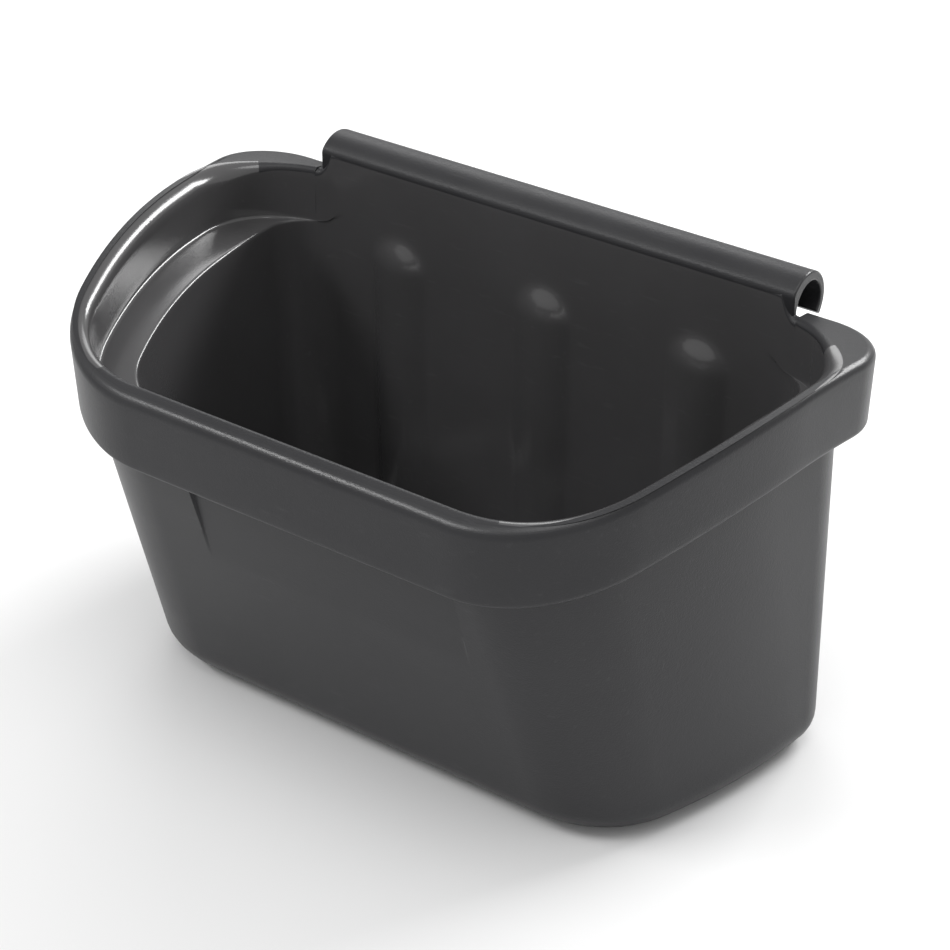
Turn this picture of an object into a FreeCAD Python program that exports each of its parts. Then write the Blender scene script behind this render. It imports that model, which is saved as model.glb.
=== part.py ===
import FreeCAD, Part
import math
import os

# Hook-over storage bin: one moulding with thick walls, a stepped rim that bows up along
# both ends, a raised back panel, and an open channel that hangs the bin on a rail.
# Each named zone of the moulding is one solid, and neighbours meet face to face.
# Millimetres. +X along the length, +Y to the back, +Z up. The origin is under the middle
# of the overall box, on the surface that the base rests on.

# ---- overall sizes ----
LENGTH = 340.0            # across the rim at its widest, before the draft of the skirt
RIM_DEPTH = 198.0         # front edge of the rim to the back edge of its corners
TOTAL_DEPTH = 214.0       # front edge of the rim to the back of the hook channel
RIM_FRONT_HEIGHT = 177.0
RIM_CROWN_HEIGHT = 200.5  # middle of each end
RIM_BACK_HEIGHT = 197.5

# ---- rim ----
SKIRT_HEIGHT = 37.0
LAND_WIDTH = 9.7          # flat top of the rim
STEP = 10.0               # how far the body sits inside the skirt
LEDGE_DROP = 27.0         # from the land down to the ledge inside
SKIRT_DRAFT = 1.5         # the skirt leans in by this much at its lower edge
OUTER_ROUND = 4.0
INNER_ROUND = 3.0
RIM_FRONT_ROUND = 70.0
RIM_END_BOW = 310.0
RIM_BACK_ROUND = 30.0
TURN_FRONT = 68.0         # headings, in degrees from +X, where the bow of an end
TURN_BACK = 84.0          # takes over from the front corner and where it stops
RIM_INSIDE_ROUND = 45.0   # inside back corners, where the land is widest

# ---- body ----
FRONT_LEAN = 41.0         # how far the front wall comes back between the step and the base
END_DRAFT = 1.0
WALL_TOP = 20.0           # both skins of a double wall and the space between them
WALL_BASE = 20.0
BACK_WALL = 4.0
FLOOR = 6.0
BASE_ROUND = 16.0
FLOOR_ROUND = 10.0

# ---- back panel, ribs and hook channel ----
PANEL_HALF = 120.0
PANEL_FLARE = 14.0
CHANNEL_HALF = 125.5
CHANNEL_OUTER = 15.0
CHANNEL_BORE = 10.2
PANEL_FORWARD = 12.0      # panel face in front of the centre of the channel
CHANNEL_TOP = 214.0
CHANNEL_GAP = 2.5         # between the end of the channel and the corner of the rim
BORE_SHIFT = 1.4          # the bore sits this far behind the centre of the outer round
TIP_ANGLE = -42.0         # where the back arm ends, measured up from straight back
LIP_ANGLE = -135.0        # where the short front lip ends
MOUTH_MIDDLE_ANGLE = (TIP_ANGLE + LIP_ANGLE) / 2
RIB_PITCH = 81.0
RIB_WIDTH = 30.0
RIB_DEPTH = 5.0
RIB_TOP = 174.0

# ---- worked out from the sizes above ----
FRONT_Y = -TOTAL_DEPTH / 2
RIM_BACK_Y = FRONT_Y + RIM_DEPTH
RIM_MIDDLE_Y = FRONT_Y + RIM_DEPTH / 2
CHANNEL_Y = TOTAL_DEPTH / 2 - CHANNEL_OUTER
CHANNEL_Z = CHANNEL_TOP - CHANNEL_OUTER
PANEL_Y = CHANNEL_Y - PANEL_FORWARD
BACK_Y = PANEL_Y + BACK_WALL
STEP_Z = RIM_FRONT_HEIGHT - SKIRT_HEIGHT
EAR_X = CHANNEL_HALF + CHANNEL_GAP
FAR = 400.0
CORNER_X = 80.0
END_FRONT_Y = -50.0
END_BACK_Y = 50.0
PANEL_SINK = 2.0
INSIDE_BACK_HALF = 118.0
OVERRUN = 20.0
BODY_TOP = 182.0
BODY_BASE_CORNER = 24.0
BODY_TOP_CORNER = 34.0
INSIDE_BASE_CORNER = 21.0
INSIDE_TOP_CORNER = 21.0
RECESS_LEFT = -60.0
RECESS_RIGHT = 76.0
RECESS_LOW = 96.0
RECESS_HIGH = 144.0
RECESS_DEPTH = 2.4
CREASE_Z = CHANNEL_Z + math.sqrt(CHANNEL_OUTER ** 2 - (CHANNEL_Y - PANEL_Y) ** 2)
V = FreeCAD.Vector


def outline(half, front, back, z, front_round, end_bow, back_round, wide_round=0.0):
    """Closed plan outline: straight front, tight front corners, bowed ends, rounded back corners.

    A wide_round makes the back corners rounder than back_round and leaves the rest in place.
    """
    a = math.radians(TURN_FRONT)
    b = math.radians(TURN_BACK)
    rise = front_round * (1 - math.cos(a)) + end_bow * (math.cos(a) - math.cos(b))

    def straight_run(corner):
        return (back - front - rise - corner * (1 + math.cos(b))) / math.sin(b)

    reach = front_round * math.sin(a) + end_bow * (math.sin(b) - math.sin(a))
    reach += straight_run(back_round) * math.cos(b) + back_round * (1 - math.sin(b))
    front_x = half - reach
    back_round = max(back_round, wide_round)
    straight = straight_run(back_round)

    def on_arc(cx, cy, radius, heading):
        return (cx + radius * math.sin(heading), cy - radius * math.cos(heading))

    c1 = (front_x, front + front_round)
    p0 = (front_x, front)
    m1 = on_arc(c1[0], c1[1], front_round, a / 2)
    p1 = on_arc(c1[0], c1[1], front_round, a)
    c2 = on_arc(c1[0], c1[1], front_round - end_bow, a)
    m2 = on_arc(c2[0], c2[1], end_bow, (a + b) / 2)
    p2 = on_arc(c2[0], c2[1], end_bow, b)
    p3 = (p2[0] + straight * math.cos(b), p2[1] + straight * math.sin(b))
    c3 = on_arc(p3[0], p3[1], -back_round, b)
    m3 = on_arc(c3[0], c3[1], back_round, (b + math.pi) / 2)
    p4 = (c3[0], back)

    def right(p):
        return V(p[0], p[1], z)

    def left(p):
        return V(-p[0], p[1], z)

    edges = [Part.LineSegment(left(p0), right(p0)).toShape()]
    edges.append(Part.Arc(right(p0), right(m1), right(p1)).toShape())
    edges.append(Part.Arc(right(p1), right(m2), right(p2)).toShape())
    edges.append(Part.LineSegment(right(p2), right(p3)).toShape())
    edges.append(Part.Arc(right(p3), right(m3), right(p4)).toShape())
    edges.append(Part.LineSegment(right(p4), left(p4)).toShape())
    edges.append(Part.Arc(left(p4), left(m3), left(p3)).toShape())
    edges.append(Part.LineSegment(left(p3), left(p2)).toShape())
    edges.append(Part.Arc(left(p2), left(m2), left(p1)).toShape())
    edges.append(Part.Arc(left(p1), left(m1), left(p0)).toShape())
    return Part.Wire(edges)


def between(lower, upper):
    return Part.makeLoft([lower, upper], True, True)


def below_rim_line(drop):
    """Everything under the rim line moved down by drop. Seen from the side the line is one arc."""
    front = V(-FAR / 2, FRONT_Y, RIM_FRONT_HEIGHT - drop)
    crown = V(-FAR / 2, RIM_MIDDLE_Y, RIM_CROWN_HEIGHT - drop)
    back = V(-FAR / 2, RIM_BACK_Y, RIM_BACK_HEIGHT - drop)
    circle = Part.Circle(front, crown, back)
    ends = []
    for y in (FRONT_Y - OVERRUN, RIM_BACK_Y + OVERRUN):
        z = circle.Center.z + math.sqrt(circle.Radius ** 2 - (y - circle.Center.y) ** 2)
        ends.append(V(-FAR / 2, y, z))
    curve = Part.Arc(ends[0], crown, ends[1]).toShape()
    feet = [V(-FAR / 2, end.y, -OVERRUN) for end in ends]
    wire = Part.Wire([curve, Part.makeLine(ends[1], feet[1]), Part.makeLine(feet[1], feet[0]),
                      Part.makeLine(feet[0], ends[0])])
    return Part.Face(wire).extrude(V(FAR, 0, 0))


def block(x0, x1, y0, y1, z0, z1):
    return Part.makeBox(x1 - x0, y1 - y0, z1 - z0, V(x0, y0, z0))


def rim_outline(inset, z, back=RIM_BACK_Y, wide_round=0.0):
    return outline(LENGTH / 2 - inset, FRONT_Y + inset, back, z,
                   RIM_FRONT_ROUND - inset, RIM_END_BOW - inset, RIM_BACK_ROUND - inset / 2, wide_round)


def above(solid, drop):
    """The part of a solid that stands above the rim line moved down by drop."""
    return solid.cut(below_rim_line(drop))


def rim_band():
    """Land and skirt, with the inside of the rim cut away above the ledge."""
    band = between(rim_outline(SKIRT_DRAFT, STEP_Z), rim_outline(-SKIRT_DRAFT, STEP_Z + 2 * SKIRT_HEIGHT))
    band = above(band.common(below_rim_line(0)), SKIRT_HEIGHT)
    low_inset = LAND_WIDTH + SKIRT_DRAFT
    high_inset = LAND_WIDTH - SKIRT_DRAFT
    opening = between(rim_outline(low_inset, STEP_Z, PANEL_Y, RIM_INSIDE_ROUND),
                      rim_outline(high_inset, STEP_Z + 2 * SKIRT_HEIGHT, PANEL_Y, RIM_INSIDE_ROUND))
    band = band.cut(above(opening, LEDGE_DROP))
    behind_panel = block(-EAR_X, EAR_X, BACK_Y, RIM_BACK_Y + OVERRUN, 0, CHANNEL_TOP)
    return band.cut(behind_panel)


def flat_faces(solid, direction):
    """Faces of the rim that look up (1) or down (-1), the ledge left out."""
    found = []
    for face in solid.Faces:
        normal = face.normalAt(*face.Surface.parameter(face.CenterOfMass))
        on_ledge = direction > 0 and face.BoundBox.ZMax < RIM_FRONT_HEIGHT
        if normal.z * direction > 0.9 and not on_ledge:
            found.append(face)
    return found


def off_the_back(edge):
    """True for an edge that isn't on the back wall or on the cut end of a back corner."""
    box = edge.BoundBox
    along_back = box.YMin > PANEL_Y - 0.5 and box.YMax < BACK_Y + 0.5
    cut_end = box.XLength < 0.5 and box.YMin > PANEL_Y - 0.5
    return not along_back and not cut_end


def round_rim(rim):
    """Soften the land on both sides, then the lower edge of the skirt."""
    for direction, outside, radius in ((1, True, OUTER_ROUND), (1, False, INNER_ROUND), (-1, True, OUTER_ROUND)):
        chosen = []
        for face in flat_faces(rim, direction):
            for wire in face.Wires:
                widest = wire.BoundBox.XLength > LENGTH - LAND_WIDTH
                if widest == outside:
                    chosen += [edge for edge in wire.Edges if off_the_back(edge)]
        rim = rim.makeFillet(radius, chosen)
    return rim


def lean_at(z):
    """How far forward the front wall stands at height z, measured from the base."""
    return FRONT_LEAN * z / STEP_Z


def tub(inset_base, inset_top, back, floor_z, edge_round, wide_base=0.0, wide_top=0.0):
    """A tapered tub form: body outside or body inside, with its lower edge rounded."""
    half = LENGTH / 2 - STEP
    base_front = FRONT_Y + STEP + SKIRT_DRAFT + FRONT_LEAN
    base = outline(half - END_DRAFT - inset_base, base_front - lean_at(floor_z) + inset_base, back, floor_z,
                   RIM_FRONT_ROUND - 2 * STEP - inset_base, RIM_END_BOW - 2 * STEP - inset_base,
                   BODY_BASE_CORNER - inset_base, wide_base)
    head = outline(half - inset_top, base_front - lean_at(BODY_TOP) + inset_top, back, BODY_TOP,
                   RIM_FRONT_ROUND - STEP - inset_top, RIM_END_BOW - STEP - inset_top,
                   BODY_TOP_CORNER - inset_top, wide_top)
    solid = between(base, head)
    low_edges = [edge for edge in solid.Edges if edge.BoundBox.ZMax < floor_z + 0.01]
    return solid.makeFillet(edge_round, low_edges)


def moulding_shell():
    """Body and rim as one hollow form, before the panel, ribs and channel."""
    outside = tub(0, 0, BACK_Y, 0, BASE_ROUND)
    inside = tub(WALL_BASE, WALL_TOP, PANEL_Y, FLOOR, FLOOR_ROUND, INSIDE_BASE_CORNER, INSIDE_TOP_CORNER)
    body = outside.common(below_rim_line(SKIRT_HEIGHT))
    body = body.cut(front_recess())
    rim = rim_band()
    return body.cut(inside), round_rim(rim.cut(inside))


def front_recess():
    """A blank label pocket in the front: deepest under the skirt, running out to nothing below."""
    base_front = FRONT_Y + STEP + SKIRT_DRAFT + FRONT_LEAN

    def on_front(z, depth):
        return V(RECESS_LEFT, base_front - lean_at(z) + depth, z)

    wedge = [on_front(RECESS_LOW, 0), on_front(RECESS_HIGH, -RECESS_DEPTH), on_front(RECESS_HIGH, RECESS_DEPTH)]
    return Part.Face(Part.makePolygon(wedge + wedge[:1])).extrude(V(RECESS_RIGHT - RECESS_LEFT, 0, 0))


def panel():
    """Flat plate that carries the channel, widening in two curves down to the rim."""
    low = RIM_FRONT_HEIGHT - LEDGE_DROP
    foot = RIM_BACK_HEIGHT - PANEL_SINK
    side = PANEL_HALF + PANEL_FLARE
    shoulder = foot + PANEL_FLARE
    bend = PANEL_FLARE * (1 - math.sqrt(0.5))

    def at(x, z):
        return V(x, PANEL_Y, z)

    edges = [Part.makeLine(at(-INSIDE_BACK_HALF, low), at(INSIDE_BACK_HALF, low))]
    edges.append(Part.makeLine(at(INSIDE_BACK_HALF, low), at(side, foot)))
    edges.append(Part.Arc(at(side, foot), at(PANEL_HALF + bend, foot + bend),
                          at(PANEL_HALF, shoulder)).toShape())
    edges.append(Part.makeLine(at(PANEL_HALF, shoulder), at(-PANEL_HALF, shoulder)))
    edges.append(Part.Arc(at(-PANEL_HALF, shoulder), at(-PANEL_HALF - bend, foot + bend),
                          at(-side, foot)).toShape())
    edges.append(Part.makeLine(at(-side, foot), at(-INSIDE_BACK_HALF, low)))
    plate = Part.Face(Part.Wire(edges)).extrude(V(0, BACK_WALL, 0))
    return plate.common(block(-FAR / 2, FAR / 2, PANEL_Y, BACK_Y, 0, CREASE_Z))


def bore_round():
    """The space the rail fills, running out past both ends of the channel."""
    return Part.makeCylinder(CHANNEL_BORE, 2 * FAR, V(-FAR, CHANNEL_Y + BORE_SHIFT, CHANNEL_Z), V(1, 0, 0))


def channel():
    """The hook: most of a round tube, flat where it meets the panel and open below."""
    tube = Part.makeCylinder(CHANNEL_OUTER, 2 * CHANNEL_HALF, V(-CHANNEL_HALF, CHANNEL_Y, CHANNEL_Z),
                             V(1, 0, 0))
    tube = tube.common(block(-FAR / 2, FAR / 2, PANEL_Y, FAR / 2, 0, FAR))
    tube = tube.cut(bore_round())
    reach = 2 * CHANNEL_OUTER
    centre = V(-FAR / 2, CHANNEL_Y + BORE_SHIFT, CHANNEL_Z)
    corners = [centre]
    for angle in (TIP_ANGLE, MOUTH_MIDDLE_ANGLE, LIP_ANGLE):
        turn = math.radians(angle)
        corners.append(centre + V(0, reach * math.cos(turn), reach * math.sin(turn)))
    corners.append(centre)
    mouth = Part.Face(Part.makePolygon(corners)).extrude(V(FAR, 0, 0))
    return tube.cut(mouth)


def rib(x):
    """Soft vertical rib on the back wall: a shallow round face with a domed head."""
    radius = (RIB_WIDTH ** 2 / 4 + RIB_DEPTH ** 2) / (2 * RIB_DEPTH)
    axis_y = PANEL_Y - RIB_DEPTH + radius
    dome_z = RIB_TOP - RIB_WIDTH / 2
    shaft = Part.makeCylinder(radius, dome_z - FLOOR, V(x, axis_y, FLOOR))
    head = Part.makeSphere(radius, V(x, axis_y, dome_z))
    form = shaft.fuse(head)
    return form.common(block(x - RIB_WIDTH, x + RIB_WIDTH, PANEL_Y - 2 * RIB_DEPTH, PANEL_Y, FLOOR, RIB_TOP + 1))


def save(name, shape):
    solids = shape.Solids
    assert len(solids) == 1 and shape.isValid(), name
    box = solids[0].optimalBoundingBox()
    print("%-20s %7.1f cm3  z %.1f to %.1f" % (name, shape.Volume / 1000, box.ZMin, box.ZMax))
    solids[0].exportStep("parts/%s.step" % name)


def zones(solid, base_z, names):
    """Cut one ring of the moulding into front, corners, ends and back by upright planes."""
    far, x, front, back = FAR / 2, CORNER_X, END_FRONT_Y, END_BACK_Y
    areas = {
        "front": (-x, x, -far, front),
        "front_left_corner": (-far, -x, -far, front),
        "front_right_corner": (x, far, -far, front),
        "left_end": (-far, -x, front, back),
        "right_end": (x, far, front, back),
        "back_left_corner": (-far, -x, back, far),
        "back_right_corner": (x, far, back, far),
        "back": (-x, x, back, far),
    }
    for area, node in names.items():
        x0, x1, y0, y1 = areas[area]
        save(node, solid.common(block(x0, x1, y0, y1, base_z, FAR)))


def main():
    os.makedirs("parts", exist_ok=True)
    body, rim = moulding_shell()
    hook = channel()
    plate = panel().cut(body).cut(hook).cut(bore_round())
    save("floor_pan", body.common(block(-FAR, FAR, -FAR, FAR, 0, FLOOR)))
    zones(body, FLOOR, {
        "front": "front_wall", "back": "back_wall",
        "front_left_corner": "front_left_corner", "front_right_corner": "front_right_corner",
        "left_end": "left_end_wall", "right_end": "right_end_wall",
        "back_left_corner": "back_left_corner", "back_right_corner": "back_right_corner",
    })
    zones(rim.cut(plate).cut(hook), 0, {
        "front": "front_rim", "left_end": "left_end_rim", "right_end": "right_end_rim",
        "front_left_corner": "front_left_rim", "front_right_corner": "front_right_rim",
        "back_left_corner": "back_left_rim", "back_right_corner": "back_right_rim",
    })
    save("back_panel", plate)
    save("rail_channel", hook)
    for name, x in (("left_rib", -RIB_PITCH), ("middle_rib", 0.0), ("right_rib", RIB_PITCH)):
        save(name, rib(x).cut(body))


main()
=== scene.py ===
# %% [markdown]
# # A hook-over bin in moulded plastic
# The real bin is one hollow moulding: a tub with a leaning front, a stepped rim that bows up
# along both ends, a back wall with three soft ribs, and an open channel that hangs it on a rail.
# The measured model comes first, as a fixed frame, and everything below is built to it.

# %% Load the frame
import math

import bmesh
import bpy
import numpy as np
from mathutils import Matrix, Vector


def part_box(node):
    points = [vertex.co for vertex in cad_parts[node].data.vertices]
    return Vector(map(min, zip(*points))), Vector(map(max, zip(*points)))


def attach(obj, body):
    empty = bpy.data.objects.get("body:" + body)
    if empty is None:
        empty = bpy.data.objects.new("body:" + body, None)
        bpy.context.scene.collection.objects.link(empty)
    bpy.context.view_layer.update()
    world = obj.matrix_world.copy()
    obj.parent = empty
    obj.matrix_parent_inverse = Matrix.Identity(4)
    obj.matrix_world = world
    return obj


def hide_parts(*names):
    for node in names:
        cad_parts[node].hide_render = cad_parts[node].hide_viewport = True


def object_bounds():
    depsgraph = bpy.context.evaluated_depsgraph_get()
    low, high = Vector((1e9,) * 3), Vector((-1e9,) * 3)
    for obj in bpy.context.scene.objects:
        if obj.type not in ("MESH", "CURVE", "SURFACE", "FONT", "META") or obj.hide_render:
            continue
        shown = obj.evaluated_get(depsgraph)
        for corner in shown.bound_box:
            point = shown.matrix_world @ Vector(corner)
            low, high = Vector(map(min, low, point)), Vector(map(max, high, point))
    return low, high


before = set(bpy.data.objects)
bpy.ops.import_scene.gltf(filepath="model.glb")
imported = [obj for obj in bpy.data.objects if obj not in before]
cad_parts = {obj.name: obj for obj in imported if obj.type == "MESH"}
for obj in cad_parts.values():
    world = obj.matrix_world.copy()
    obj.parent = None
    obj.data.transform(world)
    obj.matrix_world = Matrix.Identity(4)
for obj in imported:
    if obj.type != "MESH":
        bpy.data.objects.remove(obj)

cad_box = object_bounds()
print("frame:", len(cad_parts), "zones, box", [[round(v, 4) for v in c] for c in cad_box])

# %% [markdown]
# ## Sizes
# A moulding like this is drawn from a few sizes: the rim's plan, the line of its top, the wall
# thickness and the drafts that let it leave the mould. They are kept here in millimetres, and
# what the frame already holds, such as the channel's place, is read from the frame instead.

# %% Name the driving sizes
MM = 0.001


def corners(node):
    """Lowest and highest corner of a zone, in millimetres."""
    low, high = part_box(node)
    return np.array(low) / MM, np.array(high) / MM


channel_low, channel_high = corners("rail_channel")
LENGTH, FRONT_Y, RIM_BACK_Y = 340.0, -107.0, 91.0
RIM_FRONT_Z, RIM_CROWN_Z, RIM_BACK_Z = 177.0, 200.5, 197.5
FRONT_ROUND, END_BOW, RIM_CORNER, OPENING_CORNER = 70.0, 310.0, 30.0, 45.0
BASE_CORNER, TOP_CORNER, END_DRAFT = 24.0, 34.0, 1.0
SKIRT, LAND, STEP, DRAFT = 37.0, 9.7, 10.0, 1.5
LEDGE_DROP = 27.0
PANEL_Y = channel_low[1]
BACK_Y = PANEL_Y + 4.0
STEP_Z = RIM_FRONT_Z - SKIRT
BODY_TOP = 182.0
FRONT_LEAN = 41.0
BASE_FRONT = FRONT_Y + STEP + DRAFT + FRONT_LEAN
FLOOR, WALL, INSIDE_CORNER = 6.0, 20.0, 21.0
EAR_X = channel_high[0] + 2.5
TURN_FRONT, TURN_BACK = math.radians(68), math.radians(84)
print("panel face at y %.1f mm, ears from x %.1f mm" % (PANEL_Y, EAR_X))

# %% [markdown]
# ## The top line
# Seen from the side, the rim's top is one long arc: low at the front, highest halfway along
# each end. Every level of the rim is that arc moved down, so one function serves them all.

# %% Work out the arc of the rim
def circle_through(points):
    """Centre and radius of the circle through three (y, z) points."""
    rows = np.array([[y, z, 1.0] for y, z in points])
    a, b, c = np.linalg.solve(rows, -(rows[:, 0] ** 2 + rows[:, 1] ** 2))
    return -a / 2, -b / 2, math.sqrt(a * a / 4 + b * b / 4 - c)


arc_y, arc_z, arc_r = circle_through([
    (FRONT_Y, RIM_FRONT_Z), ((FRONT_Y + RIM_BACK_Y) / 2, RIM_CROWN_Z), (RIM_BACK_Y, RIM_BACK_Z)])


def rim_z(y):
    return arc_z + np.sqrt(arc_r ** 2 - (y - arc_y) ** 2)


print("rim arc radius %.0f mm, crown %.1f mm" % (arc_r, arc_z + arc_r))

# %% [markdown]
# ## Columns round the bin
# The whole skin is drawn as rows of points, one above another, with the same number of points
# in each row. That is how a mould is often surfaced: straight front, tight front corners, bowed
# ends and round back corners, and a finer spacing where the ribs and the label pocket are.
# Along the back and the front the columns keep fixed x values, so edges there run dead upright.

# %% Space the columns
POCKET_LEFT, POCKET_RIGHT = -60.0, 76.0
POCKET_LOW, POCKET_HIGH, POCKET_DEPTH = 96.0, 144.0, 2.4
POCKET_EDGE, FRONT_HALF = 0.7, 77.0
pocket_x = [POCKET_LEFT - POCKET_EDGE, POCKET_LEFT, POCKET_RIGHT, POCKET_RIGHT + POCKET_EDGE]
front_x = np.unique(np.r_[np.arange(-FRONT_HALF, FRONT_HALF + 0.1, 2.2), FRONT_HALF, pocket_x])[::-1]
back_x = np.linspace(-EAR_X, EAR_X, 241)
CORNER_COUNT, SIDE_COUNT, BOW_COUNT, FRONT_CORNER_COUNT, FLAT_COUNT = 44, 8, 56, 44, 4
RIGHT_COUNT = CORNER_COUNT + SIDE_COUNT + BOW_COUNT + FRONT_CORNER_COUNT + FLAT_COUNT
RIM_COLUMNS = 2 * RIGHT_COUNT + len(front_x)
COLUMNS = RIM_COLUMNS + len(back_x)
behind = np.arange(COLUMNS) >= RIM_COLUMNS
print(COLUMNS, "columns,", len(back_x), "of them along the back")


def evenly(points, count):
    """Points spread evenly along a fine path, leaving out its last one."""
    steps = np.r_[0, np.cumsum(np.hypot(*np.diff(points, axis=0).T))]
    at = np.linspace(0, steps[-1], count + 1)[:-1]
    return np.column_stack([np.interp(at, steps, points[:, 0]), np.interp(at, steps, points[:, 1])])


def arc(centre, radius, start, stop, count=240):
    turn = np.linspace(start, stop, count)
    return np.column_stack([centre[0] + radius * np.sin(turn), centre[1] - radius * np.cos(turn)])


def outline(half, front, back, front_round, end_bow, back_round, wide_round=0.0):
    """One row's plan: from the back right corner round the front to the back left, then home."""
    a, b = TURN_FRONT, TURN_BACK
    rise = front_round * (1 - math.cos(a)) + end_bow * (math.cos(a) - math.cos(b))

    def straight_run(corner):
        return (back - front - rise - corner * (1 + math.cos(b))) / math.sin(b)

    reach = front_round * math.sin(a) + end_bow * (math.sin(b) - math.sin(a))
    reach += straight_run(back_round) * math.cos(b) + back_round * (1 - math.sin(b))
    flat = half - reach
    corner = max(back_round, wide_round)
    c1 = np.array([flat, front + front_round])
    c2 = c1 + (front_round - end_bow) * np.array([math.sin(a), -math.cos(a)])
    p2 = c2 + end_bow * np.array([math.sin(b), -math.cos(b)])
    p3 = p2 + straight_run(corner) * np.array([math.cos(b), math.sin(b)])
    c3 = p3 - corner * np.array([math.sin(b), -math.cos(b)])
    start = math.pi - math.asin(np.clip((EAR_X - c3[0]) / corner, 0, 1))
    back_corner = arc(c3, corner, start, b)
    if c3[0] > EAR_X:
        back_corner = np.vstack([[EAR_X, back], back_corner])
    right = np.vstack([
        evenly(back_corner, CORNER_COUNT),
        evenly(np.array([p3, p2]), SIDE_COUNT),
        evenly(arc(c2, end_bow, b, a), BOW_COUNT),
        evenly(arc(c1, front_round, a, 0), FRONT_CORNER_COUNT),
        evenly(np.array([[flat, front], [front_x[0], front]]), FLAT_COUNT),
    ])
    middle = np.column_stack([front_x, np.full(len(front_x), front)])
    over = np.clip(np.abs(back_x) - c3[0], 0, corner)
    home = np.column_stack([back_x, back - corner + np.sqrt(corner ** 2 - over ** 2)])
    return np.vstack([right, middle, right[::-1] * [-1, 1], home])

# %% [markdown]
# ## The four families of rows
# Every row belongs to the outside of the body, the outside of the rim, the opening in the rim
# or the inside of the tub. Each family tapers between a low and a high plan, as a moulding must
# to come out of its mould, and a row can sit a little in or out of it to draw a rounded edge.

# %% Describe the families
def family(kind, inset, back_inset):
    """Low and high plan of a family and their two heights, moved in by inset."""
    if kind in ("body", "tub"):
        wall, floor, back = (0.0, 0.0, BACK_Y) if kind == "body" else (WALL, FLOOR, PANEL_Y)
        plans = []
        wide = INSIDE_CORNER - inset if kind == "tub" else 0.0
        w = wall + inset
        foot = (floor, 2 * STEP, BASE_CORNER, END_DRAFT)
        for z, step, corner, draft in (foot, (BODY_TOP, STEP, TOP_CORNER, 0.0)):
            half = LENGTH / 2 - STEP - draft - w
            front = BASE_FRONT - FRONT_LEAN * z / STEP_Z + w
            rounds = FRONT_ROUND - step - w, END_BOW - step - w, corner - w, wide
            plans.append(outline(half, front, back - back_inset, *rounds))
        return plans[0], plans[1], floor, BODY_TOP
    plans = []
    for draft in (DRAFT, -DRAFT):
        land, back, wide = 0.0, RIM_BACK_Y, 0.0
        if kind == "opening":
            land, back, wide = LAND, PANEL_Y, OPENING_CORNER - inset
        j = land + draft + inset
        rounds = FRONT_ROUND - j, END_BOW - j, RIM_CORNER - (land + draft) / 2 - inset, wide
        plans.append(outline(LENGTH / 2 - j, FRONT_Y + j, back - back_inset, *rounds))
    return plans[0], plans[1], STEP_Z, STEP_Z + 2 * SKIRT


def level(height):
    return lambda y: np.full(len(y), float(height))


def down(drop):
    return lambda y: rim_z(y) - drop


def mixed(first, last, share):
    return lambda y: first(y) * (1 - share) + last(y) * share


def row(kind, inset, height, back_inset=None):
    """Points of one row, with its height worked out from where each point ends up."""
    low, high, z0, z1 = family(kind, inset, inset if back_inset is None else back_inset)
    plan = low
    for _ in range(4):
        share = (height(plan[:, 1]) - z0) / (z1 - z0)
        plan = low + (high - low) * share[:, None]
    return np.column_stack([plan, height(plan[:, 1])])

# %% [markdown]
# ## Profile, from the base up, over the rim and down to the floor
# Nothing on a real moulding is sharp: plastic shrinks and light catches every round, so each
# edge gets its own radius here instead of a bevel afterwards. The label pocket is a wedge sunk
# in the leaning front, deepest under the skirt and running out to nothing; it is left blank.

# %% Draw the rows
QUARTER = math.pi / 2
BASE_ROUND, ROOT_ROUND, OUTER_ROUND, INNER_ROUND, END_ROUND = 16, 1.5, 4, 3, 8.0
LEDGE_FILLET, LEDGE_ROUND, FLOOR_ROUND = 2, 1.5, 10
OUTER_ROWS, SKIRT_ROWS, INNER_ROWS = 30, 6, 72
END_FROM, END_FADE, CORNER_FROM, CORNER_FADE = 80, 60, 75, 30
rows, names = [], []


def add(name, points):
    rows.append(points)
    names.append(name)


def smooth(share):
    share = np.clip(share, 0, 1)
    return share * share * (3 - 2 * share)


def quarter(count, first=0):
    """Angles of a quarter turn in count steps, from the first one asked for."""
    return [QUARTER * n / count for n in range(first, count + 1)]


def bend(radius, a):
    """The two ways that a rounded edge has still to go at angle a of its quarter turn."""
    return radius * (1 - math.sin(a)), radius * (1 - math.cos(a))


def pocket(points):
    """Sink the label pocket into the rows of the front wall."""
    x, y, z = points.T
    across = np.clip(np.minimum(x - POCKET_LEFT, POCKET_RIGHT - x) / POCKET_EDGE + 1, 0, 1)
    depth = POCKET_DEPTH * np.clip((z - POCKET_LOW) / (POCKET_HIGH - POCKET_LOW), 0, 1)
    y[(y < 0) & ~behind] += (across * depth)[(y < 0) & ~behind]
    return points


for a in quarter(9):
    inset, rise = bend(BASE_ROUND, a)
    add("base round", row("body", inset, level(rise)))
wall_foot = down(SKIRT + ROOT_ROUND)
for n in range(1, OUTER_ROWS + 1):
    add("outer wall", pocket(row("body", 0, mixed(level(BASE_ROUND), wall_foot, n / OUTER_ROWS))))
for a in quarter(3, 1):
    fall, swell = bend(ROOT_ROUND, a)
    add("skirt root", pocket(row("body", -swell, down(SKIRT + fall), 0)))
for a in quarter(6):
    inset, rise = bend(OUTER_ROUND, a)
    add("skirt foot", row("rim", inset, down(SKIRT - rise)))
for n in range(1, SKIRT_ROWS):
    add("skirt", row("rim", 0, down(SKIRT - OUTER_ROUND - (SKIRT - 2 * OUTER_ROUND) * n / SKIRT_ROWS)))
for n, a in enumerate(quarter(8)):
    fall, inset = bend(OUTER_ROUND, a)
    add("outer edge" if n > 4 else "outer round", row("rim", inset, down(fall)))


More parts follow.
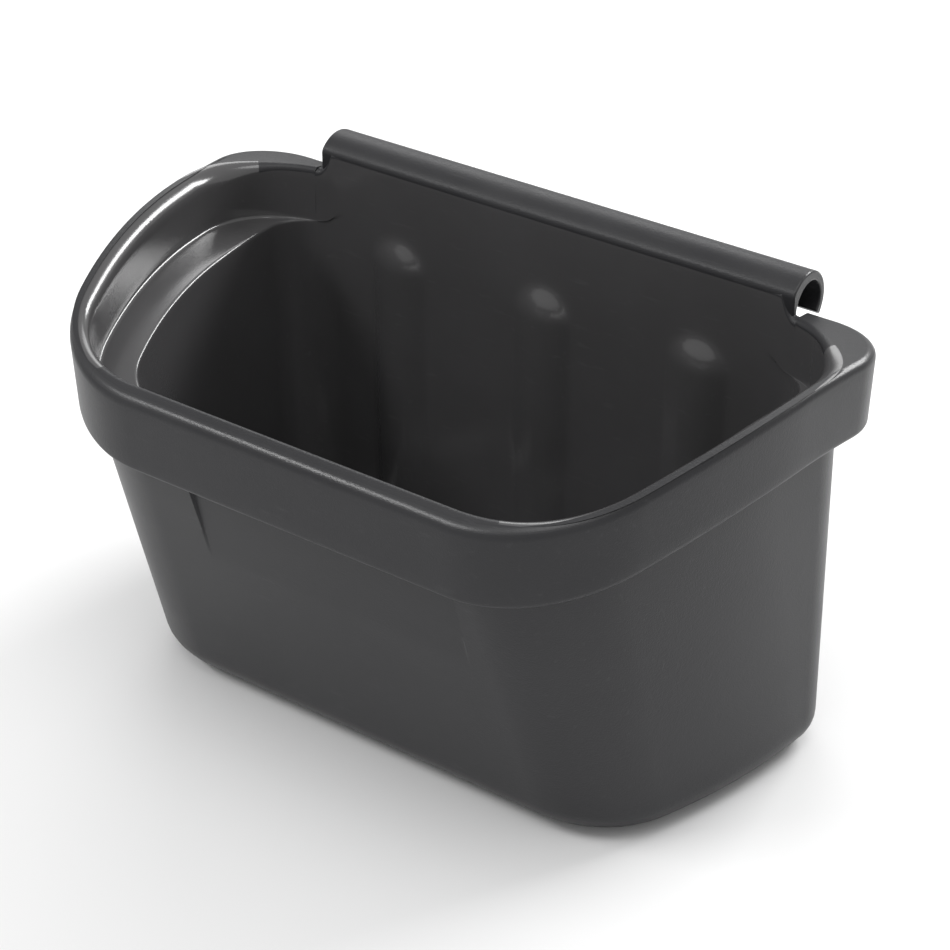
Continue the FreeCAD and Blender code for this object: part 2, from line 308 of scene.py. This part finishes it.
def rim_inside(radius):
    """Rows over the inner edge of the land and down to the ledge, for one radius of that edge."""
    over = []
    for a in quarter(9):
        swell, fall = bend(radius, a)
        over.append(row("opening", -swell, down(fall)))
    drop = LEDGE_DROP - LEDGE_FILLET - radius
    return over, [row("opening", 0, down(radius + drop * n / SKIRT_ROWS)) for n in range(1, SKIRT_ROWS)]


tight, wide = rim_inside(INNER_ROUND), rim_inside(END_ROUND)
x, y, _ = tight[0][0].T
at_end = smooth((np.abs(x) - END_FROM) / END_FADE) * smooth((CORNER_FROM - y) / CORNER_FADE)
for name, one, two in zip(("inner round", "rim inside"), tight, wide):
    for first, last in zip(one, two):
        add(name, first + (last - first) * at_end[:, None])
for a in quarter(5):
    rise, inset = bend(LEDGE_FILLET, a)
    add("ledge", row("opening", inset, down(LEDGE_DROP - rise), 0))
for a in quarter(5):
    swell, fall = bend(LEDGE_ROUND, a)
    add("ledge", row("tub", -swell, down(LEDGE_DROP + fall), 0))
wall_head, wall_end = down(LEDGE_DROP + LEDGE_ROUND), level(FLOOR + FLOOR_ROUND)
for n in range(1, INNER_ROWS + 1):
    add("inner wall", row("tub", 0, mixed(wall_head, wall_end, n / INNER_ROWS)))
for a in quarter(9, 1):
    rise, inset = bend(FLOOR_ROUND, a)
    add("floor round", row("tub", inset, level(FLOOR + rise)))
skin = np.array(rows)
names = np.array(names)
print(len(rows), "rows,", skin.shape[0] * skin.shape[1], "points")

# %% [markdown]
# ## Back wall, panel and ribs
# Between its two back corners the rim gives way to a flat panel that rises to the channel and
# flares at both sides where it meets the land. Its columns are the same ones, so the wall runs
# from floor to channel with no seam. The three ribs are soft swellings with domed heads: they
# stiffen the wall, and are drawn by pushing the wall's own points forward.

# %% Raise the panel and push out the ribs
PANEL_HALF, PANEL_FLARE, PANEL_TOP, FLARE_FOOT = 120.0, 14.0, 208.0, 195.5
side = np.clip(PANEL_HALF + PANEL_FLARE - np.abs(back_x), -PANEL_FLARE, PANEL_FLARE)
flare = FLARE_FOOT + PANEL_FLARE - np.sqrt(PANEL_FLARE ** 2 - np.clip(side, 0, PANEL_FLARE) ** 2)
flare = np.minimum(flare, PANEL_TOP)
land_z = rim_z(np.full(len(back_x), (PANEL_Y + BACK_Y) / 2)) - 0.4


def soft_max(one, other, blend):
    return (one + other + np.sqrt((one - other) ** 2 + blend ** 2)) / 2


panel_top = np.minimum(soft_max(flare, land_z, 0.8), PANEL_TOP)
panel_y = skin[names == "rim inside"][0][behind][:, 1]
half_wall = (BACK_Y - panel_y) / 2
outside = np.isin(names, ["skirt root", "skirt foot", "skirt"])
foot_z = skin[names == "outer wall"][-1][behind][:, 2]
for n, index in enumerate(np.flatnonzero(outside)):
    share = (n + 1) / (outside.sum() + 1)
    skin[index][behind] = np.column_stack([back_x, np.full(len(back_x), BACK_Y),
                                           foot_z + (panel_top - half_wall - foot_z) * share])
over = np.flatnonzero(np.isin(names, ["outer round", "outer edge", "inner round"]))
for n, index in enumerate(over):
    a = math.pi * n / (len(over) - 1)
    skin[index][behind] = np.column_stack([back_x, BACK_Y - half_wall + half_wall * math.cos(a),
                                           panel_top - half_wall + half_wall * math.sin(a)])
LEDGE_FADE_FROM = 104.0
fade = smooth((np.abs(back_x) - LEDGE_FADE_FROM) / (EAR_X - LEDGE_FADE_FROM))
face_top = panel_top - half_wall
wall_start = skin[names == "inner wall"][0][behind][:, 2]
ledge_z = skin[names == "ledge"][0][behind][:, 2]
face_rows = np.flatnonzero(np.isin(names, ["rim inside", "ledge"]))
above_ledge = (names == "rim inside").sum()
for n, index in enumerate(face_rows):
    y, z = skin[index][behind][:, 1:].T
    if n < above_ledge:
        share = (n + 1) / (above_ledge + 1)
        y, z = panel_y, face_top * (1 - share) + ledge_z * share
    share = (n + 1) / (len(face_rows) + 1)
    even = face_top * (1 - share) + wall_start * share
    skin[index][behind] = np.column_stack([back_x, y, even * (1 - fade) + z * fade])

RIB_HALF, RIB_DEPTH, RIB_BLEND = 15.0, 5.0, 1.5
rib_nodes = ["left_rib", "middle_rib", "right_rib"]
for node in rib_nodes:
    low, high = corners(node)
    middle_x, dome_z = (low[0] + high[0]) / 2, high[2] - RIB_HALF
    for index in np.flatnonzero(np.isin(names, ["rim inside", "ledge", "inner wall", "floor round"])):
        points = skin[index][behind]
        away = (points[:, 0] - middle_x) ** 2 + np.clip(points[:, 2] - dome_z, 0, None) ** 2
        swell = RIB_DEPTH * (1 - away / RIB_HALF ** 2)
        points[:, 1] = PANEL_Y - soft_max(PANEL_Y - points[:, 1], swell, RIB_BLEND)
        skin[index][behind] = points
    print(node, "at x %.0f mm, head at z %.0f mm" % (middle_x, high[2]))

# %% [markdown]
# ## One skin
# The rows are joined into one closed skin. A moulding has no seams, so the zones of the frame
# are replaced by this single piece; each face still knows whether it is outside or inside,
# because the two sides of a real moulding leave the mould with different shines, and the inside
# is given a lighter base colour, painted light that stands in for the light reaching into the tub.

# %% Join the rows into a skin
def new_piece(name, bm, sharp_from):
    """Finish a mesh, shade it smooth except across hard edges, and let it ride on the root."""
    mesh = bpy.data.meshes.new(name)
    bm.to_mesh(mesh)
    bm.free()
    mesh.polygons.foreach_set("use_smooth", [True] * len(mesh.polygons))
    mesh.set_sharp_from_angle(angle=math.radians(sharp_from))
    piece = bpy.data.objects.new(name, mesh)
    bpy.context.scene.collection.objects.link(piece)
    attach(piece, "root")
    return piece


GRAINED, SMOOTH_PAINTED_LIGHTER, RUBBED = range(3)
INSIDE = {"rim inside", "ledge", "inner wall", "floor round"}


def finish_of(above, name, column):
    """Which of the three finishes a face has, from the rows on its two sides and its column."""
    if name == "outer edge":
        return RUBBED
    # Faces inside the tub, and the inner round at both ends, take the inside finish with its painted
    # lighter base colour.
    if name in INSIDE or above == name == "inner round" and at_end[column] > 0.3:
        return SMOOTH_PAINTED_LIGHTER
    return GRAINED


bm = bmesh.new()
points = [[bm.verts.new(p * MM) for p in line] for line in skin]
for r in range(len(points) - 1):
    for c in range(COLUMNS):
        d = (c + 1) % COLUMNS
        face = bm.faces.new((points[r][c], points[r][d], points[r + 1][d], points[r + 1][c]))
        face.material_index = finish_of(names[r], names[r + 1], c)
for line, finish in ((points[0], GRAINED), (points[-1], SMOOTH_PAINTED_LIGHTER)):
    bm.faces.new(line).material_index = finish
bmesh.ops.remove_doubles(bm, verts=bm.verts, dist=0.00002)
bmesh.ops.dissolve_degenerate(bm, edges=bm.edges, dist=0.00001)
bmesh.ops.recalc_face_normals(bm, faces=bm.faces)
bin_skin = new_piece("moulded_bin", bm, 32)
replaced = [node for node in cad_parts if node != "rail_channel"]
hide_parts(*replaced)
print("skin:", len(bin_skin.data.polygons), "faces, in place of", len(replaced), "zones")

# %% [markdown]
# ## The rail channel
# The channel is most of a round tube, open below, with a short lip in front of the mouth and a
# longer arm behind it that springs over the rail. A tube primitive would have no lips, so its
# section is drawn as one closed path and drawn out along the rail.

# %% Draw the channel
OUTER_R, BORE_R, BORE_SHIFT, CHANNEL_Z = 15.0, 10.2, 1.4, channel_high[2] - 15.0
CHANNEL_Y = channel_high[1] - OUTER_R
TIP, LIP = math.radians(-42), math.radians(225)


def meet(angle, radius):
    """Where a line from the bore's middle meets the outer round."""
    shift = BORE_SHIFT * math.cos(angle)
    reach = -shift + math.sqrt(shift ** 2 + radius ** 2 - BORE_SHIFT ** 2)
    return (CHANNEL_Y + BORE_SHIFT + reach * math.cos(angle), CHANNEL_Z + reach * math.sin(angle))


def bow(middle_y, radius, start, stop, count):
    return [(middle_y + radius * math.cos(t), CHANNEL_Z + radius * math.sin(t))
            for t in np.linspace(start, stop, count)]


def angle_to(point):
    return math.atan2(point[1] - CHANNEL_Z, point[0] - CHANNEL_Y)


FACE_GAP, CREASE_ROUND = 0.02, 1.6
face_y = PANEL_Y + FACE_GAP
crease = math.acos((face_y - CHANNEL_Y) / OUTER_R)
crease_z = CHANNEL_Z + OUTER_R * math.sin(crease)
section = bow(CHANNEL_Y, OUTER_R, angle_to(meet(TIP, OUTER_R)), crease - CREASE_ROUND / OUTER_R, 48)
before, after = np.array(section[-1]), np.array([face_y, crease_z - CREASE_ROUND])
corner = np.array([face_y, crease_z])
for t in np.linspace(0, 1, 6)[1:]:
    section.append(tuple(before * (1 - t) ** 2 + 2 * corner * t * (1 - t) + after * t ** 2))
section += bow(CHANNEL_Y, OUTER_R, 2 * math.pi - crease, 2 * math.pi + angle_to(meet(LIP, OUTER_R)), 5)
section += bow(CHANNEL_Y + BORE_SHIFT, BORE_R, LIP, TIP, 56)

bm = bmesh.new()
ends = np.r_[channel_low[0], np.linspace(channel_low[0] + 2, channel_high[0] - 2, 40), channel_high[0]]
loops = [[bm.verts.new((x * MM, y * MM, z * MM)) for y, z in section] for x in ends]
for one, two in zip(loops, loops[1:]):
    for k in range(len(section)):
        n = (k + 1) % len(section)
        bm.faces.new((one[k], one[n], two[n], two[k]))
bm.faces.new(loops[0])
bm.faces.new(loops[-1])
bmesh.ops.recalc_face_normals(bm, faces=bm.faces)
channel = new_piece("rail_hook", bm, 40)
soften = channel.modifiers.new("soft edges", "BEVEL")
soften.limit_method = "ANGLE"
soften.angle_limit = math.radians(50)
soften.width, soften.segments = 0.0011, 3
soften.material = 1
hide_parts("rail_channel")
print("channel: section of", len(section), "points, mouth", [round(v, 1) for v in meet(LIP, OUTER_R)])

# %% [markdown]
# ## Moulded grain
# The outside of the mould is sandblasted, which leaves a fine grain that breaks up the shine,
# with faint flow marks and handling scuffs over it. All the finishes share these effects, so they
# are one node group; the shader and its fixed values stay in each material.

# %% Build the grain group
def grain_group():
    """Node group: fine grain height, slow mottling and thin scuffs, all from the piece's own place."""
    group = bpy.data.node_groups.new("moulded grain", "ShaderNodeTree")
    for name, kind, where, value in (
            ("Grain scale", "NodeSocketFloat", "INPUT", 1500.0),
            ("Scuffs", "NodeSocketFloat", "INPUT", 0.5),
            ("Height", "NodeSocketFloat", "OUTPUT", 0.0),
            ("Mottle", "NodeSocketFloat", "OUTPUT", 0.0),
            ("Scuff mask", "NodeSocketFloat", "OUTPUT", 0.0)):
        socket = group.interface.new_socket(name=name, in_out=where, socket_type=kind)
        if where == "INPUT":
            socket.default_value = value
    nodes, link = group.nodes, group.links.new
    start, end = nodes.new("NodeGroupInput"), nodes.new("NodeGroupOutput")
    place = nodes.new("ShaderNodeTexCoord")
    pits, fine, slow, streak = (nodes.new("ShaderNodeTexNoise") for _ in range(4))
    for node, scale, detail in ((pits, 0, 2), (fine, 420, 3), (slow, 16, 4), (streak, 60, 5)):
        node.inputs["Scale"].default_value = scale
        node.inputs["Detail"].default_value = detail
    link(place.outputs["Object"], pits.inputs["Vector"])
    link(place.outputs["Object"], fine.inputs["Vector"])
    link(place.outputs["Object"], slow.inputs["Vector"])
    link(start.outputs["Grain scale"], pits.inputs["Scale"])
    stretch = nodes.new("ShaderNodeMapping")
    stretch.inputs["Rotation"].default_value = (0.3, 0.5, 0.4)
    stretch.inputs["Scale"].default_value = (1.0, 9.0, 5.0)
    link(place.outputs["Object"], stretch.inputs["Vector"])
    link(stretch.outputs["Vector"], streak.inputs["Vector"])
    height = nodes.new("ShaderNodeMath")
    height.operation = "MULTIPLY_ADD"
    height.inputs[1].default_value = 0.35
    link(fine.outputs["Fac"], height.inputs[0])
    link(pits.outputs["Fac"], height.inputs[2])
    thin = nodes.new("ShaderNodeMapRange")
    thin.inputs["From Min"].default_value, thin.inputs["From Max"].default_value = 0.62, 0.78
    link(streak.outputs["Fac"], thin.inputs["Value"])
    scuff = nodes.new("ShaderNodeMath")
    scuff.operation = "MULTIPLY"
    link(thin.outputs["Result"], scuff.inputs[0])
    link(start.outputs["Scuffs"], scuff.inputs[1])
    link(height.outputs[0], end.inputs["Height"])
    link(slow.outputs["Fac"], end.inputs["Mottle"])
    link(scuff.outputs[0], end.inputs["Scuff mask"])
    return group


grain = grain_group()
print("grain group:", len(grain.nodes), "nodes")

# %% [markdown]
# ## Three finishes of one plastic
# The resin is the same charcoal black all through. Outside, the grain spreads the light into a
# soft grey sheen; inside, the core of the mould is smoother, so the light draws thin bright
# lines along the ledge and the rounds. The outer edges are rubbed a little shinier by handling.
# The difference is in roughness and depth of grain, and in the inside's lighter base colour,
# which is painted light standing in for the light that reaches the tub's back wall and floor.

# %% Mix the finishes
def plastic(name, dark, light, scuffed, shine, roughness, scale, depth, scuffs):
    """One finish: its two tones, the tone of its scuffs, its shine, and how deep its grain is."""
    material = bpy.data.materials.new(name)
    material.use_nodes = True
    nodes, link = material.node_tree.nodes, material.node_tree.links.new
    shader = nodes["Principled BSDF"]
    shader.inputs["IOR"].default_value = 1.5
    shader.inputs["Specular IOR Level"].default_value = shine
    effect = nodes.new("ShaderNodeGroup")
    effect.node_tree = grain
    effect.inputs["Grain scale"].default_value = scale
    effect.inputs["Scuffs"].default_value = scuffs
    tone = nodes.new("ShaderNodeValToRGB")
    tone.color_ramp.elements[0].position, tone.color_ramp.elements[1].position = 0.3, 0.72
    tone.color_ramp.elements[0].color, tone.color_ramp.elements[1].color = dark, light
    link(effect.outputs["Mottle"], tone.inputs["Fac"])
    mix = nodes.new("ShaderNodeMix")
    mix.data_type = "RGBA"
    mix.inputs["B"].default_value = scuffed
    link(effect.outputs["Scuff mask"], mix.inputs["Factor"])
    link(tone.outputs["Color"], mix.inputs["A"])
    link(mix.outputs["Result"], shader.inputs["Base Color"])
    sheen = nodes.new("ShaderNodeMapRange")
    sheen.inputs["From Min"].default_value, sheen.inputs["From Max"].default_value = 0.3, 0.7
    sheen.inputs["To Min"].default_value, sheen.inputs["To Max"].default_value = roughness
    link(effect.outputs["Mottle"], sheen.inputs["Value"])
    link(sheen.outputs["Result"], shader.inputs["Roughness"])
    bump = nodes.new("ShaderNodeBump")
    bump.inputs["Strength"].default_value = depth
    bump.inputs["Distance"].default_value = 0.0002
    link(effect.outputs["Height"], bump.inputs["Height"])
    link(bump.outputs["Normal"], shader.inputs["Normal"])
    return material


matte = plastic("charcoal plastic, grained", (0.022, 0.022, 0.024, 1), (0.029, 0.029, 0.031, 1),
                (0.045, 0.045, 0.047, 1), 0.27, (0.33, 0.43), 1500, 0.6, 0.5)
# The inside finish has a lighter base colour than the outside: painted light, standing in for the light
# that reaches the tub's back wall and floor.
smooth_inside_painted_lighter = plastic("charcoal plastic, smooth inside, painted lighter", (0.056, 0.055, 0.056, 1), (0.066, 0.065, 0.067, 1),
                 (0.086, 0.085, 0.088, 1), 0.8, (0.15, 0.22), 900, 0.12, 0.35)
rubbed = plastic("charcoal plastic, rubbed edge", (0.024, 0.024, 0.026, 1), (0.031, 0.031, 0.033, 1),
                 (0.050, 0.050, 0.052, 1), 0.4, (0.24, 0.32), 1500, 0.35, 0.5)
for finish in (matte, smooth_inside_painted_lighter, rubbed):
    bin_skin.data.materials.append(finish)
for finish in (matte, rubbed):
    channel.data.materials.append(finish)
print("finishes:", [finish.name for finish in (matte, smooth_inside_painted_lighter, rubbed)])

# %% [markdown]
# ## Floor, light and camera
# A pale floor and soft light from large panels are what a catalogue studio uses for black
# plastic: the panels show as soft edges along the rounds, and the pale surroundings lift the
# matte faces just enough to read their shape.

# %% Lay the floor
bm = bmesh.new()
FLOOR_HALF = 6.0
bmesh.ops.create_grid(bm, x_segments=8, y_segments=8, size=FLOOR_HALF)
mesh = bpy.data.meshes.new("studio_floor")
bm.to_mesh(mesh)
bm.free()
floor = bpy.data.objects.new("studio_floor", mesh)
bpy.context.scene.collection.objects.link(floor)
floor.location.z = -0.0005
paper = bpy.data.materials.new("pale paper")
paper.use_nodes = True
paper_nodes, paper_link = paper.node_tree.nodes, paper.node_tree.links.new
paper_noise = paper_nodes.new("ShaderNodeTexNoise")
paper_noise.inputs["Scale"].default_value = 40
paper_tone = paper_nodes.new("ShaderNodeValToRGB")
paper_tone.color_ramp.elements[0].color = (0.84, 0.84, 0.84, 1)
paper_tone.color_ramp.elements[1].color = (0.88, 0.88, 0.88, 1)
paper_link(paper_noise.outputs["Fac"], paper_tone.inputs["Fac"])
paper_link(paper_tone.outputs["Color"], paper_nodes["Principled BSDF"].inputs["Base Color"])
paper_nodes["Principled BSDF"].inputs["Roughness"].default_value = 0.9
paper_nodes["Principled BSDF"].inputs["Specular IOR Level"].default_value = 0.1
mesh.materials.append(paper)
print("floor laid")

# %% Set the lights
world = bpy.data.worlds.new("studio")
bpy.context.scene.world = world
world.use_nodes = True
world.node_tree.nodes["Background"].inputs["Color"].default_value = (1, 1, 1, 1)
world.node_tree.nodes["Background"].inputs["Strength"].default_value = 0.6
middle = (cad_box[0] + cad_box[1]) / 2


def towards(azimuth, elevation):
    """The direction that lies so many degrees round from the front and above the floor."""
    a, e = math.radians(azimuth), math.radians(elevation)
    return Vector((math.sin(a) * math.cos(e), -math.cos(a) * math.cos(e), math.sin(e)))


def panel_light(name, azimuth, elevation, distance, wide, tall, watts):
    """A large soft panel aimed at the middle of the bin."""
    light = bpy.data.lights.new(name, "AREA")
    light.shape, light.size, light.size_y, light.energy = "RECTANGLE", wide, tall, watts
    lamp = bpy.data.objects.new(name, light)
    lamp.location = middle + distance * towards(azimuth, elevation)
    lamp.rotation_euler = (middle - lamp.location).to_track_quat("-Z", "Y").to_euler()
    bpy.context.scene.collection.objects.link(lamp)
    print(name, "at", [round(v, 2) for v in lamp.location])


panel_light("front strip", -42, 44, 1.9, 0.8, 0.2, 10)
panel_light("top panel", 30, 74, 1.6, 1.1, 1.0, 9)
panel_light("back left panel", 216, 33, 1.6, 0.9, 0.5, 4)
panel_light("back right panel", 160, 35, 1.3, 0.8, 0.28, 12)

# %% Place the camera
CAMERA_AZIMUTH, CAMERA_ELEVATION, CAMERA_DISTANCE = 35.7, 31.6, 1.1132
AIM = Vector((3.6, 22.7, 106.2)) * MM
camera_data = bpy.data.cameras.new("camera")
camera_data.lens, camera_data.sensor_width = 95.0, 36.0
camera = bpy.data.objects.new("camera", camera_data)
camera.location = AIM + CAMERA_DISTANCE * towards(CAMERA_AZIMUTH, CAMERA_ELEVATION)
camera.rotation_euler = (AIM - camera.location).to_track_quat("-Z", "Y").to_euler()
bpy.context.scene.collection.objects.link(camera)
bpy.context.scene.camera = camera
bpy.context.scene.view_settings.view_transform = "Standard"
print("camera at", [round(v, 3) for v in camera.location])
